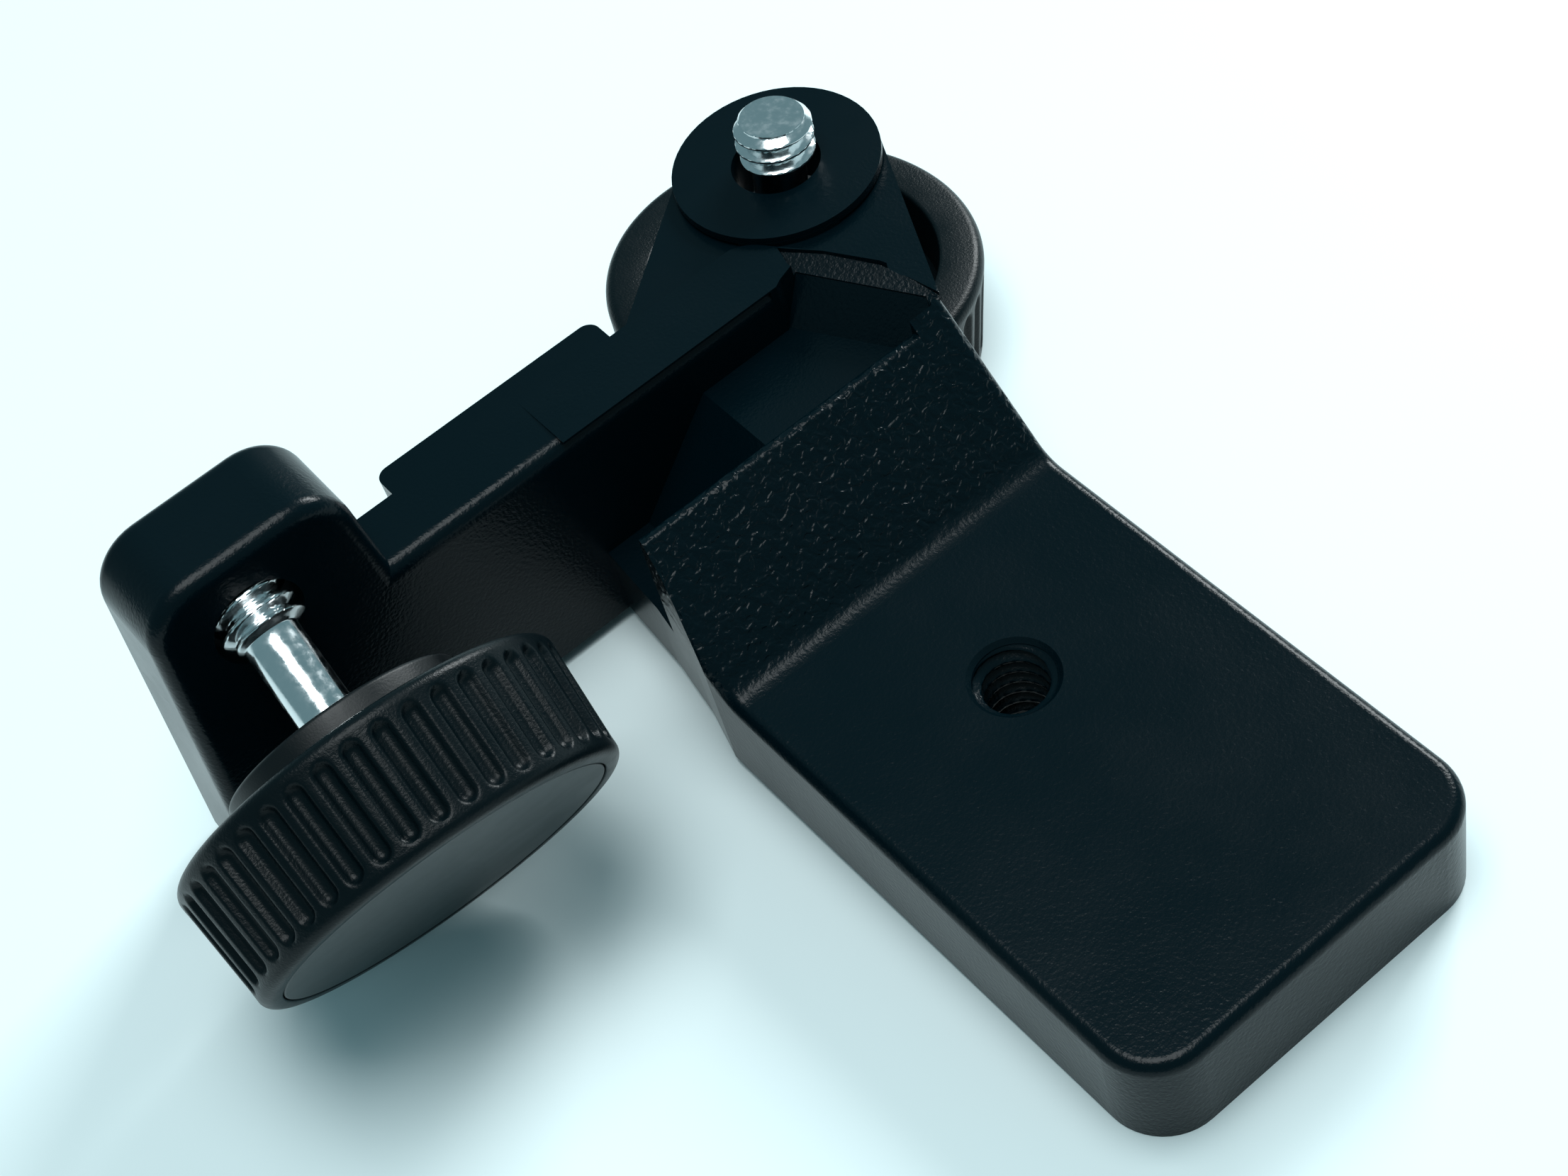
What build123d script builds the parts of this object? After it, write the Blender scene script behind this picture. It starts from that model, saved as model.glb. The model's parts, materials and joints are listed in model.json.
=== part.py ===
"""Cast accessory bracket with two identical 1/4"-20 knob screws.

Frame: millimetres, +Z up. The origin is the axis of the plate's tapped hole at the plate's underside.
The plate runs towards -Y, the riser climbs towards +Y, and the arm runs towards -X.
"""

import os
from math import cos, radians, sin

from build123d import *

os.makedirs("parts", exist_ok=True)

# Plate and riser
PLATE_LEFT = -16.0
PLATE_RIGHT = 15.75
PLATE_FRONT = -30.8
PLATE_THICK = 9.5
PLATE_CORNER_R = 4.7
PLATE_EDGE_R = 1.0
CREASE_Y = 13.4
CREASE_R = 3.0
RISER_TOP_Y = 23.7
RISER_LIP_R = 0.7
RISER_LIP_END = 12.4
RISER_TOP_Z = PLATE_THICK + RISER_TOP_Y - CREASE_Y
TAPER_START_Y = 16.0
TAPER_DEPTH = 2.9

# Slot between riser and arm
SLOT_END_X = 6.0
SLOT_SHELF = 15.6
SLOT_FLOOR = [(-20.0, 7.0), (-9.0, 7.0), (-1.0, SLOT_SHELF), (SLOT_END_X, SLOT_SHELF)]

# Arm
ARM_FRONT = 33.8
ARM_REAR = 39.95
ARM_TOP = 20.3
ARM_EDGE_R = 1.3
ARM_RIGHT = 7.5
PAD_LEFT = -25.0
PAD_RIGHT = -4.2
PAD_REAR = 42.55

# Neck and round seat
NECK_TOP = 19.94
NECK_UNDER = 15.9
SEAT_X = 16.0
SEAT_Y = 44.2
SEAT_R = 8.5
SEAT_TOP = 20.94
SEAT_GROOVE = 0.3
BORE_R = 3.65

# Upright boss
BOSS_LEFT_FOOT = -49.0
BOSS_LEFT_TOP = -46.4
BOSS_RIGHT_FOOT = -26.4
BOSS_RIGHT_TOP = -30.0
BOSS_REAR = 42.9
BOSS_TOP = 31.0
BOSS_CORNER_R = 4.6
BOSS_EDGE_R = 1.3

# 1/4"-20 thread, as plain cylinders
THREAD_R = 3.175
TAPPED_R = 3.2
HOLE_CHAMFER = 0.35

# Knob, measured from its end face along its axis
KNOB_END_R = 15.1
KNOB_FLANGE_R = 15.7
KNOB_LENGTH = 10.2
KNOB_RIM_R = 0.9
FLUTES = 42
FLUTE_R = 0.75
FLUTE_DEPTH = 0.55
FLUTE_START = 1.2
FLUTE_END = 8.8
CAP_R = 13.5
CAP_POCKET_R = 13.55
CAP_THICK = 1.4
RECESS_OUTER_R = 12.0
RECESS_DEPTH = 5.0
COLLAR_R = 9.45
COLLAR_FACE = 13.0
COLLAR_GAP = 0.05
HEAD_START = 2.6
HEAD_END = 6.6
HEAD_RADIUS = 5.6
SHANK_R = 2.2
COLLAR_BORE_R = SHANK_R + COLLAR_GAP
THREAD_START = 21.6
SCREW_TIP = 25.4
TIP_CHAMFER = 0.6

# Where the two knob screws stand: end-face centre and axis towards the tip
REAR_LEAN = 6.3
REAR_AXIS = Vector(sin(radians(REAR_LEAN)), 0, cos(radians(REAR_LEAN)))
REAR_TIP = Vector(16.65, 44.15, 25.3)
REAR_END = REAR_TIP - REAR_AXIS * SCREW_TIP
FRONT_AXIS = Vector(0.047, 0.888, 0.458).normalized()
FRONT_END = Vector(-40.3, 13.4, 13.45)

# Bore of the upright boss: level, high enough for the drooping screw's thread to lie in it
FRONT_BORE_X = -39.2
FRONT_BORE_Z = 24.1

# Room under the neck for the rear knob
KNOB_ROOM_R = 16.6
KNOB_ROOM_TOP = 14.6
COLLAR_ROOM_R = 10.6

# Where slot, riser and neck meet: a soft band and a steep wall, both falling away from the neck
DOWNHILL = Vector(-0.89, -0.456, 0)
BAND_TILT = 22
BAND_POINT = (12.3, 34.0, 20.1)
BAND_OUTER = [(10.3, 37.1), (9.7, 34.9), (12.5, 28.5), (14.3, 24.4)]
BAND_PLAN = [*BAND_OUTER, (15.9, 23.5), (15.3, 27.0), (14.6, 29.6), (12.4, 34.0)]
WALL_TILT = 57
WALL_POINT = (12.6, 29.9, 19.3)
WALL_PLAN = [(5.9, 23.7), (14.6, 23.7), (15.1, 25.0), (10.1, 34.8), (8.3, 34.2), (7.6, 33.8), (5.9, 33.8)]
FACETS = [(BAND_POINT, BAND_TILT, BAND_PLAN), (WALL_POINT, WALL_TILT, WALL_PLAN)]

# Neck outline, tangent to the seat, and the curved step where the machining stops
NECK_FRONT = [(15.7, 24.02), (9.0, 30.0), (7.5, 34.0)]
NECK_OUTLINE = [(-2.58, 36.0), (-2.58, 40.22), (10.97, 50.79), (23.6, 40.36), *NECK_FRONT]
STEP_BEND = [(7.2, 40.1), (8.9, 39.3), (10.2, 37.5), (12.4, 34.1)]
STEP_CURVE = [(-2.6, 40.3), *STEP_BEND, (14.6, 29.6), (15.2, 26.2), (15.4, 23.0)]


def near(value, target, slack=0.05):
    return abs(value - target) < slack


def on_top_rim(edge):
    """Edges that bound the top of the plate and riser, apart from the cross edges at the arm."""
    mid = edge.position_at(0.5)
    on_side = near(mid.X, PLATE_LEFT) or near(mid.X, PLATE_RIGHT)
    at_front = mid.Y < PLATE_FRONT + PLATE_CORNER_R
    along_side = on_side and mid.Z > PLATE_THICK - 0.1 and mid.Y < ARM_REAR - 0.1
    return along_side or (at_front and near(mid.Z, PLATE_THICK))


def on_boss_outline(edge):
    """Edges round the top and sides of the upright boss, on its front and rear faces."""
    mid = edge.position_at(0.5)
    on_face = near(mid.Y, ARM_FRONT) or near(mid.Y, BOSS_REAR)
    upright = mid.Z > ARM_TOP + 0.5 or mid.X < BOSS_LEFT_TOP + 0.5
    return on_face and mid.X < BOSS_RIGHT_FOOT and upright and mid.Z > 1


with BuildPart() as bracket_casting:
    # Plate, riser and the block under the slot, as one side profile
    with BuildSketch(Plane.YZ.offset(PLATE_LEFT)):
        with BuildLine():
            Polyline(
                (PLATE_FRONT, 0),
                (PLATE_FRONT, PLATE_THICK),
                (CREASE_Y, PLATE_THICK),
                (RISER_TOP_Y + 1.0, RISER_TOP_Z + 1.0),
                (ARM_REAR, ARM_TOP),
                (ARM_REAR, 0),
                close=True,
            )
        make_face()
    extrude(amount=PLATE_RIGHT - PLATE_LEFT)
    crease = bracket_casting.edges().filter_by(Axis.X)
    crease = crease.filter_by(lambda e: near(e.center().Y, CREASE_Y) and near(e.center().Z, PLATE_THICK))
    fillet(crease, CREASE_R)
    corners = bracket_casting.edges().filter_by(Axis.Z).filter_by(lambda e: near(e.center().Y, PLATE_FRONT))
    fillet(corners, PLATE_CORNER_R)
    rim = bracket_casting.edges().filter_by(on_top_rim)
    fillet(rim, PLATE_EDGE_R)

    # The block narrows towards the arm on its left side
    with BuildSketch():
        with BuildLine():
            Polyline(
                (PLATE_LEFT, TAPER_START_Y),
                (PLATE_LEFT + 0.45 * TAPER_DEPTH, 20.6),
                (PLATE_LEFT + 0.8 * TAPER_DEPTH, 26.5),
                (PLATE_LEFT + TAPER_DEPTH, ARM_FRONT),
                (PLATE_LEFT + TAPER_DEPTH, ARM_REAR + 1),
                (PLATE_LEFT - 1, ARM_REAR + 1),
                (PLATE_LEFT - 1, TAPER_START_Y),
                close=True,
            )
        make_face()
    extrude(amount=BOSS_TOP, mode=Mode.SUBTRACT)

    # Slot between riser and arm, open to the left, its floor climbing to the right
    with BuildSketch(Plane.XZ.offset(-RISER_TOP_Y)):
        with BuildLine():
            Polyline(*SLOT_FLOOR, (SLOT_END_X, BOSS_TOP), (SLOT_FLOOR[0][0], BOSS_TOP), close=True)
        make_face()
    extrude(amount=-(ARM_FRONT - RISER_TOP_Y), mode=Mode.SUBTRACT)

    # The riser's top lip is rounded where the slot drops away behind it
    lip_centre = (RISER_TOP_Y - RISER_LIP_R, RISER_TOP_Z - (1 + 2**0.5) * RISER_LIP_R)
    lip_on_slope = (lip_centre[0] - RISER_LIP_R / 2**0.5, lip_centre[1] + RISER_LIP_R / 2**0.5)
    with BuildSketch(Plane.YZ.offset(PLATE_LEFT)):
        lip_corner = (RISER_TOP_Y, RISER_TOP_Z)
        Polygon(lip_on_slope, lip_corner, (RISER_TOP_Y, lip_centre[1]), lip_centre, align=None)
        with Locations(lip_centre):
            Circle(RISER_LIP_R, mode=Mode.SUBTRACT)
    extrude(amount=RISER_LIP_END - PLATE_LEFT, mode=Mode.SUBTRACT)

    # Arm, its front top edge rounded, with the pad on its rear face
    with BuildSketch(Plane.YZ.offset(BOSS_RIGHT_TOP)):
        Polygon((ARM_FRONT, 0), (ARM_FRONT, ARM_TOP), (ARM_REAR, ARM_TOP), (ARM_REAR, 0), align=None)
    extrude(amount=ARM_RIGHT - BOSS_RIGHT_TOP)
    edge_centre = (ARM_FRONT + ARM_EDGE_R, ARM_TOP - ARM_EDGE_R)
    with BuildSketch(Plane.YZ.offset(BOSS_RIGHT_TOP)):
        with Locations((ARM_FRONT, ARM_TOP)):
            Rectangle(ARM_EDGE_R, ARM_EDGE_R, align=(Align.MIN, Align.MAX))
        with Locations(edge_centre):
            Circle(ARM_EDGE_R, mode=Mode.SUBTRACT)
    extrude(amount=ARM_RIGHT - 0.5 - BOSS_RIGHT_TOP, mode=Mode.SUBTRACT)
    with BuildSketch():
        with Locations(((PAD_LEFT + PAD_RIGHT) / 2, (ARM_FRONT + PAD_REAR) / 2 + 1.5)):
            RectangleRounded(PAD_RIGHT - PAD_LEFT, PAD_REAR - ARM_FRONT - 3.0, 1.1)
    extrude(amount=ARM_TOP)

    # Neck tongue and round seat, machined flat on top
    with BuildSketch(Plane.XY.offset(NECK_UNDER)):
        Polygon(*NECK_OUTLINE, align=None)
        with Locations((SEAT_X, SEAT_Y)):
            Circle(SEAT_R)
    extrude(amount=NECK_TOP - NECK_UNDER)
    with BuildSketch(Plane.XY.offset(NECK_TOP)):
        with Locations((SEAT_X, SEAT_Y)):
            Circle(SEAT_R - SEAT_GROOVE)
    extrude(amount=SEAT_GROOVE)
    with BuildSketch(Plane.XY.offset(NECK_TOP + SEAT_GROOVE)):
        with Locations((SEAT_X, SEAT_Y)):
            Circle(SEAT_R)
    extrude(amount=SEAT_TOP - NECK_TOP - SEAT_GROOVE)

    # The machining pass that clears the cast skin behind a curved step
    with BuildSketch(Plane.XY.offset(NECK_TOP)):
        with BuildLine():
            Spline(*STEP_CURVE)
            Polyline(STEP_CURVE[-1], (30, 23), (30, 60), (-2.6, 60), STEP_CURVE[0])
        make_face()
        with Locations((SEAT_X, SEAT_Y)):
            Circle(SEAT_R + 0.02, mode=Mode.SUBTRACT)
    extrude(amount=5, mode=Mode.SUBTRACT)

    # The casting falls away from the neck in a band and a wall, each cut above its own inclined plane
    for point, tilt, plan in FACETS:
        uphill = DOWNHILL * sin(radians(tilt)) + Vector(0, 0, cos(radians(tilt)))
        with BuildPart(mode=Mode.PRIVATE) as wedge:
            with BuildSketch(Plane.XY.offset(SLOT_SHELF)):
                Polygon(*plan, align=None)
            extrude(amount=BOSS_TOP - SLOT_SHELF)
            split(bisect_by=Plane(point, z_dir=uphill), keep=Keep.TOP)
        add(wedge.part, mode=Mode.SUBTRACT)

    # Upright boss at the arm's left end
    with BuildSketch(Plane.XZ.offset(-BOSS_REAR)):
        with BuildLine():
            Polyline(
                (BOSS_LEFT_FOOT, 0),
                (BOSS_LEFT_TOP, BOSS_TOP),
                (BOSS_RIGHT_TOP, BOSS_TOP),
                (BOSS_RIGHT_FOOT, 0),
                close=True,
            )
        make_face()
    extrude(amount=BOSS_REAR - ARM_FRONT)
    boss_corners = bracket_casting.edges().filter_by(Axis.Y).group_by(Axis.Z)[-1]
    fillet(boss_corners, BOSS_CORNER_R)
    boss_outline = bracket_casting.edges().filter_by(on_boss_outline)
    fillet(boss_outline, BOSS_EDGE_R)

    # Room for the rear knob under the neck
    with BuildSketch():
        with Locations((REAR_END.X + 0.6, REAR_END.Y)):
            Circle(KNOB_ROOM_R)
    extrude(amount=KNOB_ROOM_TOP, mode=Mode.SUBTRACT)
    with BuildSketch(Plane.XY.offset(KNOB_ROOM_TOP)):
        with Locations((REAR_END.X + 1.2, REAR_END.Y)):
            Circle(COLLAR_ROOM_R)
    extrude(amount=NECK_UNDER - KNOB_ROOM_TOP, mode=Mode.SUBTRACT)

    # Holes: tapped plate hole, seat bore and the level bore of the boss
    with Locations((0, 0, PLATE_THICK)):
        Hole(TAPPED_R, PLATE_THICK)
    with Locations((SEAT_X, SEAT_Y, SEAT_TOP)):
        Hole(BORE_R, SEAT_TOP - NECK_UNDER + 1)
    with BuildSketch(Plane.XZ.offset(-BOSS_REAR - 1)):
        with Locations((FRONT_BORE_X, FRONT_BORE_Z)):
            Circle(BORE_R)
    extrude(amount=BOSS_REAR - ARM_FRONT + 2, mode=Mode.SUBTRACT)
    tapped_rims = bracket_casting.edges().filter_by(GeomType.CIRCLE)
    tapped_rims = tapped_rims.filter_by(lambda e: near(e.radius, TAPPED_R) and near(e.arc_center.X, 0))
    chamfer(tapped_rims, HOLE_CHAMFER)
bracket_casting.part.label = "bracket_casting"
export_step(bracket_casting.part, "parts/bracket_casting.step")


def knob_screw(place):
    """Hexagonal head moulded into the grip, undercut shank and threaded end."""
    with BuildPart(place) as screw:
        with BuildSketch(place.offset(HEAD_START)):
            RegularPolygon(HEAD_RADIUS, 6)
        extrude(amount=HEAD_END - HEAD_START)
        with BuildSketch(place.offset(HEAD_END)):
            Circle(SHANK_R)
        extrude(amount=THREAD_START - HEAD_END)
        with BuildSketch(place.offset(THREAD_START)):
            Circle(THREAD_R)
        extrude(amount=SCREW_TIP - THREAD_START)
        tip = screw.edges().filter_by(GeomType.CIRCLE).filter_by(lambda e: near(e.radius, THREAD_R))
        start = place.origin + place.z_dir * THREAD_START
        chamfer(tip.sort_by_distance(start)[-1], TIP_CHAMFER)
    return screw.part


def knob_body(place):
    """Fluted grip: cap pocket at its end face, ring recess and hub towards the bracket."""
    side = [
        (0, 0),
        (KNOB_END_R - KNOB_RIM_R, 0),
        (KNOB_END_R, KNOB_RIM_R),
        (KNOB_FLANGE_R, KNOB_LENGTH - KNOB_RIM_R),
        (KNOB_FLANGE_R - KNOB_RIM_R, KNOB_LENGTH),
        (RECESS_OUTER_R, KNOB_LENGTH),
        (RECESS_OUTER_R, KNOB_LENGTH - RECESS_DEPTH),
        (COLLAR_R, KNOB_LENGTH - RECESS_DEPTH),
        (COLLAR_R, KNOB_LENGTH),
        (0, KNOB_LENGTH),
    ]
    with BuildPart() as grip:
        with BuildSketch(Plane.XZ):
            with BuildLine():
                Polyline(*side[:2])
                RadiusArc(side[1], side[2], -KNOB_RIM_R)
                Polyline(*side[2:4])
                RadiusArc(side[3], side[4], -KNOB_RIM_R)
                Polyline(*side[4:], side[0])
            make_face()
        revolve(axis=Axis.Z)
        with BuildSketch():
            Circle(CAP_POCKET_R)
        extrude(amount=CAP_THICK, mode=Mode.SUBTRACT)
        with BuildSketch(Plane.XY.offset(HEAD_START)):
            RegularPolygon(HEAD_RADIUS, 6)
        extrude(amount=HEAD_END - HEAD_START, mode=Mode.SUBTRACT)
        with BuildSketch(Plane.XY.offset(HEAD_END)):
            Circle(SHANK_R)
        extrude(amount=KNOB_LENGTH, mode=Mode.SUBTRACT)
        # One round-ended flute, repeated round the side
        with BuildPart(mode=Mode.PRIVATE) as flute:
            low = Vector(KNOB_END_R + 0.1 + FLUTE_R - FLUTE_DEPTH, 0, FLUTE_START + FLUTE_R)
            high = Vector(KNOB_FLANGE_R - 0.05 + FLUTE_R - FLUTE_DEPTH, 0, FLUTE_END - FLUTE_R)
            with BuildSketch(Plane(low, z_dir=high - low)):
                Circle(FLUTE_R)
            extrude(amount=(high - low).length)
            with Locations(low, high):
                Sphere(FLUTE_R)
        with PolarLocations(0, FLUTES):
            add(flute.part, mode=Mode.SUBTRACT)
    return place.location * grip.part


def knob_cap(place):
    """Inlay disc in the end face."""
    with BuildPart(place) as cap:
        Cylinder(CAP_R, CAP_THICK, align=(Align.CENTER, Align.CENTER, Align.MIN))
    return cap.part


def thrust_collar(place):
    """Loose collar that bears on the bracket while the grip turns."""
    with BuildPart(place) as collar:
        with BuildSketch(place.offset(KNOB_LENGTH + COLLAR_GAP)):
            Circle(COLLAR_R)
            Circle(COLLAR_BORE_R, mode=Mode.SUBTRACT)
        extrude(amount=COLLAR_FACE - KNOB_LENGTH - COLLAR_GAP)
    return collar.part


for side_name, end, axis in (("rear", REAR_END, REAR_AXIS), ("front", FRONT_END, FRONT_AXIS)):
    knob_place = Plane(end, z_dir=axis)
    pieces = {
        "screw": knob_screw(knob_place),
        "knob_body": knob_body(knob_place),
        "knob_cap": knob_cap(knob_place),
        "thrust_collar": thrust_collar(knob_place),
    }
    for piece_name, piece in pieces.items():
        piece.label = f"{side_name}_{piece_name}"
        export_step(piece, f"parts/{side_name}_{piece_name}.step")
    print(side_name, "end", end, "tip", end + axis * SCREW_TIP, "axis", axis)
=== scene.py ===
"""Looks for a cast accessory bracket with two fluted knob screws. Metres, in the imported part's own frame."""

import json
import math

import bmesh
import bpy
from mathutils import Matrix, Vector


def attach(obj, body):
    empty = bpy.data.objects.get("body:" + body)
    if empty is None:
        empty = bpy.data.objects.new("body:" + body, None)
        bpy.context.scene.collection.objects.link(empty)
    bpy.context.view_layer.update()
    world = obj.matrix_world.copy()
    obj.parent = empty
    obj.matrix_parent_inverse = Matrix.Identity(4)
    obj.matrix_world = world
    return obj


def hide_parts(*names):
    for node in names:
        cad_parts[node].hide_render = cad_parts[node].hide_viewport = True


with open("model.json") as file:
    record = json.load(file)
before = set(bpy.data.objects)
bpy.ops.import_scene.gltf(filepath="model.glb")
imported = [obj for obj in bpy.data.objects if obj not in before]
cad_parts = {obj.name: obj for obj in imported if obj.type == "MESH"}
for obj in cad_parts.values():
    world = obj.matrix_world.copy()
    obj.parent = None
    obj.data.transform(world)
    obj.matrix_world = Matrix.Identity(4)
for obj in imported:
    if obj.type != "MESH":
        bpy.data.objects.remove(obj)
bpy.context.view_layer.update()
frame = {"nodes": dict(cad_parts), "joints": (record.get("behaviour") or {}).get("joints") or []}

MM = 0.001

# Knob in millimetres, measured from its end face along its axis: the CAD's sizes, with softer, deeper flutes
KNOB_END_R = 15.1
KNOB_FLANGE_R = 15.7
KNOB_LENGTH = 10.2
RIM_R = 0.9
FLUTES = 42
FLUTE_DEPTH = 0.6
FLUTE_HALF_WIDTH = 0.74
FLUTE_START = 1.15
FLUTE_END = 8.85
FLUTE_REACH = 1.25
POCKET_R = 13.55
CAP_R = 13.46
CAP_THICK = 1.4
RECESS_OUTER_R = 12.0
RECESS_FLOOR = 5.2
COLLAR_R = 9.45
COLLAR_FACE = 13.0
COLLAR_GAP = 0.05
HEAD_R = 4.6
HEAD_START = 2.7
HEAD_END = 6.5
SHANK_R = 2.2
THREAD_R = 3.175
THREAD_ROOT_R = 2.45
THREAD_START = 21.6
SCREW_TIP = 25.4
TIP_CHAMFER = 0.6
PITCH = 25.4 / 20
TAPPED_R = 3.2
TAPPED_DEPTH = 0.62
TAPPED_FADE = 0.4
HOLE_CHAMFER = 0.36
PLATE_THICK = 9.5

# The table, in metres: the plate's front edge and the fall per metre behind it
PLATE_FRONT = -0.0308
TABLE_SLOPE = 0.0203

# Both softboxes
LAMP_COLOUR = (0.93, 0.99, 1.0)


# ---------------------------------------------------------------- mesh helpers


def new_object(name, mesh):
    obj = bpy.data.objects.new(name, mesh)
    bpy.context.scene.collection.objects.link(obj)
    return obj


def placed(joint_name):
    """Matrix that takes knob coordinates, with +Z along the screw, to the part's frame in metres."""
    joint = next(j for j in frame["joints"] if j["name"] == joint_name)
    turn = Vector(joint["axis"]).to_track_quat("Z", "Y").to_matrix().to_4x4()
    return Matrix.Translation(Vector(joint["pos_m"])) @ turn @ Matrix.Scale(MM, 4)


def grid_of_revolution(name, rows, segments, place, radius_at=None, close=True):
    """Turns (radius, height) rows about Z; radius_at(radius, height, angle) may shape each point."""
    verts = []
    for radius, height in rows:
        for k in range(segments):
            angle = 2 * math.pi * k / segments
            r = radius_at(radius, height, angle) if radius_at else radius
            verts.append((r * math.cos(angle), r * math.sin(angle), height))
    faces = []
    for i in range(len(rows) - 1):
        for k in range(segments):
            a = i * segments + k
            b = i * segments + (k + 1) % segments
            faces.append((a, b, b + segments, a + segments))
    if close:
        faces.append(tuple(reversed(range(segments))))
        last = (len(rows) - 1) * segments
        faces.append(tuple(range(last, last + segments)))
    mesh = bpy.data.meshes.new(name)
    mesh.from_pydata(verts, [], faces)
    mesh.transform(place)
    bm = bmesh.new()
    bm.from_mesh(mesh)
    bmesh.ops.recalc_face_normals(bm, faces=bm.faces)
    bm.to_mesh(mesh)
    bm.free()
    mesh.shade_smooth()
    mesh.set_sharp_from_angle(angle=math.radians(38))
    return new_object(name, mesh)


def arc(centre, radius, start, end, steps):
    """Points of a round corner in (radius, height), angles in degrees from the outward direction."""
    points = []
    for i in range(steps + 1):
        angle = math.radians(start + (end - start) * i / steps)
        points.append((centre[0] + radius * math.cos(angle), centre[1] + radius * math.sin(angle)))
    return points


def span(start, end, steps):
    """Evenly spaced points between two, without the first and the last."""
    return [
        (start[0] + (end[0] - start[0]) * i / steps, start[1] + (end[1] - start[1]) * i / steps)
        for i in range(1, steps)
    ]


def smooth(x):
    x = min(1.0, max(0.0, x))
    return x * x * (3 - 2 * x)


# ---------------------------------------------------------------- materials


def material(name, colour, roughness, metallic=0.0, specular=0.5):
    mat = bpy.data.materials.new(name)
    mat.use_nodes = True
    shader = mat.node_tree.nodes["Principled BSDF"]
    shader.inputs["Base Color"].default_value = (*colour, 1)
    shader.inputs["Roughness"].default_value = roughness
    shader.inputs["Metallic"].default_value = metallic
    shader.inputs["Specular IOR Level"].default_value = specular
    return mat, mat.node_tree.nodes, mat.node_tree.links, shader


def position(nodes, links, scale):
    """Object coordinates in millimetres times scale, so that a texture stays with its piece."""
    coords = nodes.new("ShaderNodeTexCoord")
    mapping = nodes.new("ShaderNodeMapping")
    mapping.inputs["Scale"].default_value = (scale / MM, scale / MM, scale / MM)
    links.new(coords.outputs["Object"], mapping.inputs["Vector"])
    return mapping.outputs["Vector"]


def noise(nodes, links, scale, detail=2.0, rough=0.5, distortion=0.0):
    tex = nodes.new("ShaderNodeTexNoise")
    tex.inputs["Scale"].default_value = 1.0
    tex.inputs["Detail"].default_value = detail
    tex.inputs["Roughness"].default_value = rough
    tex.inputs["Distortion"].default_value = distortion
    links.new(position(nodes, links, scale), tex.inputs["Vector"])
    return tex.outputs["Fac"]


def math_node(nodes, links, operation, a, b):
    node = nodes.new("ShaderNodeMath")
    node.operation = operation
    for socket, value in ((node.inputs[0], a), (node.inputs[1], b)):
        if isinstance(value, (int, float)):
            socket.default_value = value
        else:
            links.new(value, socket)
    return node.outputs[0]


def ramp(nodes, links, value, low, high, out_low=0.0, out_high=1.0):
    node = nodes.new("ShaderNodeMapRange")
    node.interpolation_type = "SMOOTHSTEP"
    limits = {"From Min": low, "From Max": high, "To Min": out_low, "To Max": out_high}
    for name, number in limits.items():
        node.inputs[name].default_value = number
    links.new(value, node.inputs["Value"])
    return node.outputs["Result"]


def bump(nodes, links, shader, height, distance):
    """Relief whose full height is a distance in millimetres."""
    node = nodes.new("ShaderNodeBump")
    node.inputs["Strength"].default_value = 1.0
    node.inputs["Distance"].default_value = distance * MM
    links.new(height, node.inputs["Height"])
    links.new(node.outputs["Normal"], shader.inputs["Normal"])


def uneven_gloss(nodes, links, shader, clouds, smoothest, roughest):
    """Roughness that drifts between two values with a noise."""
    links.new(ramp(nodes, links, clouds, 0.3, 0.7, smoothest, roughest), shader.inputs["Roughness"])


def wrinkle_paint():
    """Stove-baked black paint: pebbly on the riser, finer on the flats, nearly smooth where machined."""
    mat, nodes, links, shader = material("wrinkle_paint", (0.0002, 0.0045, 0.0070), 0.24, specular=0.14)
    coords = nodes.new("ShaderNodeTexCoord")
    split = nodes.new("ShaderNodeSeparateXYZ")
    links.new(coords.outputs["Object"], split.inputs[0])
    y = split.outputs["Y"]
    z = split.outputs["Z"]
    behind_crease = ramp(nodes, links, y, 0.0125, 0.0150)
    before_slot = ramp(nodes, links, y, 0.0260, 0.0240)
    above_plate = ramp(nodes, links, z, 0.0092, 0.0105)
    on_riser = math_node(nodes, links, "MULTIPLY", behind_crease, before_slot)
    riser_mask = math_node(nodes, links, "MULTIPLY", on_riser, above_plate)
    behind_step = ramp(nodes, links, y, 0.0375, 0.0410)
    top_level = ramp(nodes, links, z, 0.0196, 0.0198)
    machined = math_node(nodes, links, "MULTIPLY", behind_step, top_level)
    pebble = ramp(nodes, links, noise(nodes, links, 1.3, 1.5, 0.45, 0.5), 0.34, 0.66)
    fine = noise(nodes, links, 3.2, 2.0, 0.55)
    riser_amount = math_node(nodes, links, "MULTIPLY", riser_mask, 0.8)
    coarse = math_node(nodes, links, "MULTIPLY", pebble, riser_amount)
    machined_loss = math_node(nodes, links, "MULTIPLY", machined, 0.26)
    fine_amount = math_node(nodes, links, "SUBTRACT", 0.34, machined_loss)
    grain = math_node(nodes, links, "MULTIPLY", fine, fine_amount)
    height = math_node(nodes, links, "ADD", coarse, grain)
    bump(nodes, links, shader, height, 0.10)
    uneven_gloss(nodes, links, shader, noise(nodes, links, 0.08, 3.0, 0.6), 0.21, 0.27)
    return mat


def grip_plastic():
    """Moulded grip: fine spark-eroded grain and a faint variation in gloss."""
    mat, nodes, links, shader = material("grip_plastic", (0.0004, 0.0035, 0.0050), 0.34, specular=0.16)
    grain = noise(nodes, links, 5.0, 2.0, 0.6)
    bump(nodes, links, shader, grain, 0.030)
    uneven_gloss(nodes, links, shader, noise(nodes, links, 0.3, 3.0, 0.6), 0.30, 0.38)
    return mat


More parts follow.
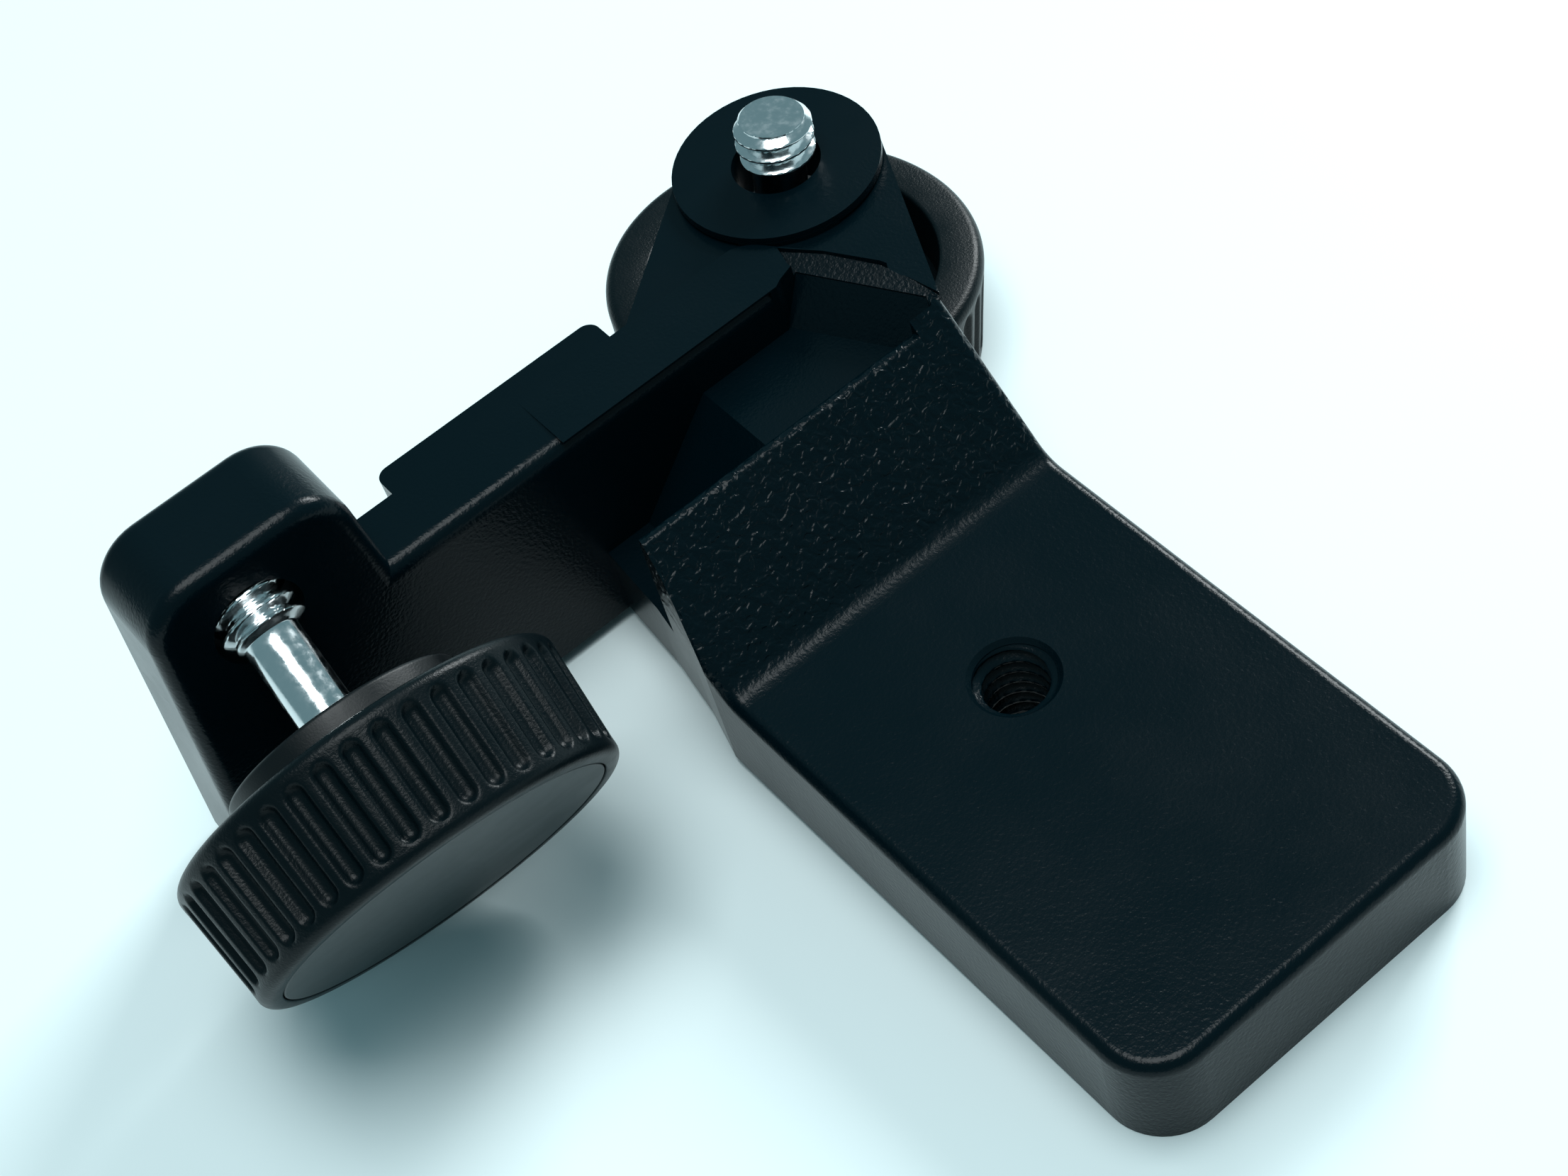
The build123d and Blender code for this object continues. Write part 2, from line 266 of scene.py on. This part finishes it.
def cap_plastic():
    """Smooth satin inlay with a very fine grain."""
    mat, nodes, links, shader = material("cap_plastic", (0.003, 0.010, 0.012), 0.42, specular=0.75)
    bump(nodes, links, shader, noise(nodes, links, 9.0, 2.0, 0.6), 0.008)
    uneven_gloss(nodes, links, shader, noise(nodes, links, 0.2, 2.0, 0.5), 0.46, 0.54)
    return mat


def collar_plastic():
    mat, nodes, links, shader = material("collar_plastic", (0.0012, 0.003, 0.004), 0.4, specular=0.3)
    bump(nodes, links, shader, noise(nodes, links, 6.0, 2.0, 0.5), 0.012)
    uneven_gloss(nodes, links, shader, noise(nodes, links, 0.4, 2.0, 0.5), 0.36, 0.46)
    return mat


def plated_steel():
    """Bright plated steel with faint turning marks and handling haze."""
    mat, nodes, links, shader = material("plated_steel", (0.72, 0.75, 0.76), 0.14, metallic=1.0)
    haze = noise(nodes, links, 1.2, 3.0, 0.6)
    links.new(ramp(nodes, links, haze, 0.35, 0.7, 0.10, 0.24), shader.inputs["Roughness"])
    bump(nodes, links, shader, noise(nodes, links, 4.0, 2.0, 0.5), 0.004)
    return mat


def floor_material():
    mat, nodes, links, shader = material("pale_table", (0.80, 0.90, 0.91), 0.55, specular=0.3)
    uneven_gloss(nodes, links, shader, noise(nodes, links, 0.02, 2.0, 0.5), 0.5, 0.6)
    return mat


PAINT = wrinkle_paint()
GRIP = grip_plastic()
CAP = cap_plastic()
COLLAR = collar_plastic()
STEEL = plated_steel()


# ---------------------------------------------------------------- pieces


def flute_radius(radius, height, angle):
    """Sinks round-ended flutes into the grip's side; their soft edges reach a little past the half width."""
    if radius < KNOB_END_R - 0.05:
        return radius
    pitch = 2 * math.pi / FLUTES
    across = ((angle / pitch + 0.5) % 1.0 - 0.5) * pitch * radius
    end = max(FLUTE_START + FLUTE_HALF_WIDTH - height, height - (FLUTE_END - FLUTE_HALF_WIDTH), 0.0)
    distance = math.hypot(across, end) / FLUTE_HALF_WIDTH
    if distance >= FLUTE_REACH:
        return radius
    round_floor = FLUTE_DEPTH * math.sqrt(max(0.0, 1.0 - min(distance, 1.0) ** 2))
    lip = FLUTE_DEPTH * 0.35 * (1 - smooth((distance - 0.7) / 0.55))
    return radius - max(round_floor * smooth((FLUTE_REACH - distance) / 0.5), lip)


def grip_piece(side, place):
    low = (KNOB_END_R, RIM_R)
    high = (KNOB_FLANGE_R, KNOB_LENGTH - RIM_R)
    rows = [(0.6, CAP_THICK), (POCKET_R, CAP_THICK), (POCKET_R, 0.12)]
    rows += arc((POCKET_R + 0.12, 0.12), 0.12, 180, 270, 3)
    rows += arc((KNOB_END_R - RIM_R, RIM_R), RIM_R, -90, 0, 8)
    rows += span(low, high, 44)
    rows += arc((KNOB_FLANGE_R - RIM_R, KNOB_LENGTH - RIM_R), RIM_R, 0, 90, 8)
    rows += arc((RECESS_OUTER_R + 0.35, KNOB_LENGTH - 0.35), 0.35, 90, 180, 4)
    rows += [(RECESS_OUTER_R, RECESS_FLOOR), (COLLAR_R, RECESS_FLOOR)]
    rows += [(COLLAR_R, KNOB_LENGTH), (0.6, KNOB_LENGTH)]
    return grid_of_revolution(f"{side}_grip", rows, FLUTES * 16, place, flute_radius)


def cap_piece(side, place):
    rows = [(0.5, 0.03), (CAP_R * 0.5, 0.03), (CAP_R - 0.2, 0.03)]
    rows += arc((CAP_R - 0.15, 0.18), 0.15, -90, 0, 4)
    rows += [(CAP_R, CAP_THICK - 0.02), (0.5, CAP_THICK - 0.02)]
    return grid_of_revolution(f"{side}_cap", rows, 192, place)


def collar_piece(side, place):
    bottom = KNOB_LENGTH + COLLAR_GAP
    bore = SHANK_R + COLLAR_GAP
    rows = [(bore, bottom), (COLLAR_R - 0.1, bottom), (COLLAR_R, bottom + 0.1)]
    rows += arc((COLLAR_R - 0.35, COLLAR_FACE - 0.35), 0.35, 0, 90, 5)
    rows += [(bore + 0.25, COLLAR_FACE), (bore, COLLAR_FACE - 0.25), (bore, bottom)]
    return grid_of_revolution(f"{side}_collar", rows, 128, place, close=False)


def thread_wave(turns):
    """Height of a 60 degree thread, 0 at the root flat and 1 at the crest flat."""
    x = abs((turns % 1.0) * 2 - 1)
    return min(1.0, max(0.0, (x - 0.18) / 0.66))


def screw_piece(side, place):
    """Head, undercut shank and a real helical thread that fades in from the shank and ends in a chamfer."""

    def radius_at(radius, height, angle):
        if height <= THREAD_START + 0.02:
            return radius
        runout = smooth((height - THREAD_START) / 0.5)
        crest = min(THREAD_R, THREAD_R - TIP_CHAMFER + (SCREW_TIP - height))
        wave = thread_wave(height / PITCH - angle / (2 * math.pi))
        body = THREAD_ROOT_R + (THREAD_R - THREAD_ROOT_R) * wave
        if height >= SCREW_TIP - 0.001:
            return radius
        return min(body, crest) * runout + SHANK_R * (1 - runout)

    rows = [(0.4, HEAD_START), (HEAD_R, HEAD_START), (HEAD_R, HEAD_END), (SHANK_R, HEAD_END)]
    rows += [(SHANK_R, HEAD_END + (THREAD_START - HEAD_END) * i / 20) for i in range(1, 21)]
    steps = 72
    rows += [(THREAD_R, THREAD_START + (SCREW_TIP - THREAD_START) * i / steps) for i in range(1, steps)]
    flat = THREAD_R - TIP_CHAMFER
    rows += [(flat, SCREW_TIP), (flat * 0.6, SCREW_TIP), (0.2, SCREW_TIP)]
    return grid_of_revolution(f"{side}_threaded_screw", rows, 120, place, radius_at)


def tapped_thread_piece():
    """Female thread standing in from the wall of the plate's plain CAD hole."""

    def radius_at(radius, height, angle):
        if radius > TAPPED_R:
            return radius
        wave = thread_wave(height / PITCH - angle / (2 * math.pi))
        from_below = smooth((height - TAPPED_FADE) / TAPPED_FADE)
        from_above = smooth((PLATE_THICK - TAPPED_FADE - height) / TAPPED_FADE)
        return TAPPED_R - 0.02 - TAPPED_DEPTH * wave * from_below * from_above

    steps = 130
    low = HOLE_CHAMFER
    high = PLATE_THICK - HOLE_CHAMFER
    rows = [(TAPPED_R, low + (high - low) * i / steps) for i in range(steps + 1)]
    rows += [(TAPPED_R + 0.1, high), (TAPPED_R + 0.1, low), (TAPPED_R, low)]
    return grid_of_revolution("tapped_thread", rows, 120, Matrix.Scale(MM, 4), radius_at, close=False)


def dress(obj, mat, body, node=None):
    obj.data.materials.clear()
    obj.data.materials.append(mat)
    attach(obj, body)
    if node:
        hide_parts(node)


for side, carrier in (("rear", "rear_slider"), ("front", "front_swing")):
    place = placed(f"{side}_knob_spin")
    turning = f"{side}_knob"
    dress(grip_piece(side, place), GRIP, turning, f"{side}_knob_body")
    dress(cap_piece(side, place), CAP, turning, f"{side}_knob_cap")
    dress(screw_piece(side, place), STEEL, turning, f"{side}_screw")
    dress(collar_piece(side, place), COLLAR, carrier, f"{side}_thrust_collar")

dress(tapped_thread_piece(), PAINT, "bracket")

casting = frame["nodes"]["bracket_casting"]
casting.data.materials.clear()
casting.data.materials.append(PAINT)


# ---------------------------------------------------------------- stage


def table():
    """The part rests on the plate's front bottom edge and on the rear knob's rim, which stands lower."""
    size = 1.6
    outline = ((-size, -size), (size, -size), (size, size), (-size, size))
    corners = [(x, y, (PLATE_FRONT - y) * TABLE_SLOPE) for x, y in outline]
    mesh = bpy.data.meshes.new("table")
    mesh.from_pydata(corners, [], [(0, 1, 2, 3)])
    obj = new_object("table", mesh)
    obj.data.materials.append(floor_material())


def area_light(name, at, target, size, power):
    data = bpy.data.lights.new(name, "AREA")
    data.shape = "RECTANGLE"
    data.size, data.size_y = size
    data.energy = power
    data.color = LAMP_COLOUR
    obj = bpy.data.objects.new(name, data)
    bpy.context.scene.collection.objects.link(obj)
    obj.location = at
    obj.rotation_euler = (Vector(target) - Vector(at)).to_track_quat("-Z", "Y").to_euler()


def camera():
    """The viewing place, from the casting's own edges: 61.85 mm on a 36 mm wide frame."""
    data = bpy.data.cameras.new("camera")
    data.sensor_fit = "HORIZONTAL"
    data.sensor_width = 36.0
    data.lens = 61.85
    data.clip_start = 0.01
    obj = bpy.data.objects.new("camera", data)
    bpy.context.scene.collection.objects.link(obj)
    right = Vector((0.7646, -0.6135, -0.1976)).normalized()
    forward = Vector((0.2610, 0.5750, -0.7754)).normalized()
    up = right.cross(forward).normalized()
    right = forward.cross(up).normalized()
    turn = Matrix((right, up, -forward)).transposed().to_4x4()
    obj.matrix_world = Matrix.Translation((-0.05924, -0.09742, 0.16622)) @ turn
    bpy.context.scene.camera = obj


def studio():
    world = bpy.data.worlds.new("studio")
    world.use_nodes = True
    background = world.node_tree.nodes["Background"]
    background.inputs["Color"].default_value = (0.52, 0.90, 1.0, 1)
    background.inputs["Strength"].default_value = 0.30
    bpy.context.scene.world = world
    middle = (0, 0.01, 0)
    area_light("overhead_softbox", (-0.02, -0.01, 0.62), middle, (0.34, 0.34), 2.7)
    area_light("back_right_softbox", (0.74, 0.34, 0.46), middle, (0.35, 0.35), 7.8)
    bpy.context.scene.view_settings.view_transform = "Standard"
    bpy.context.scene.view_settings.look = "None"


table()
camera()
studio()
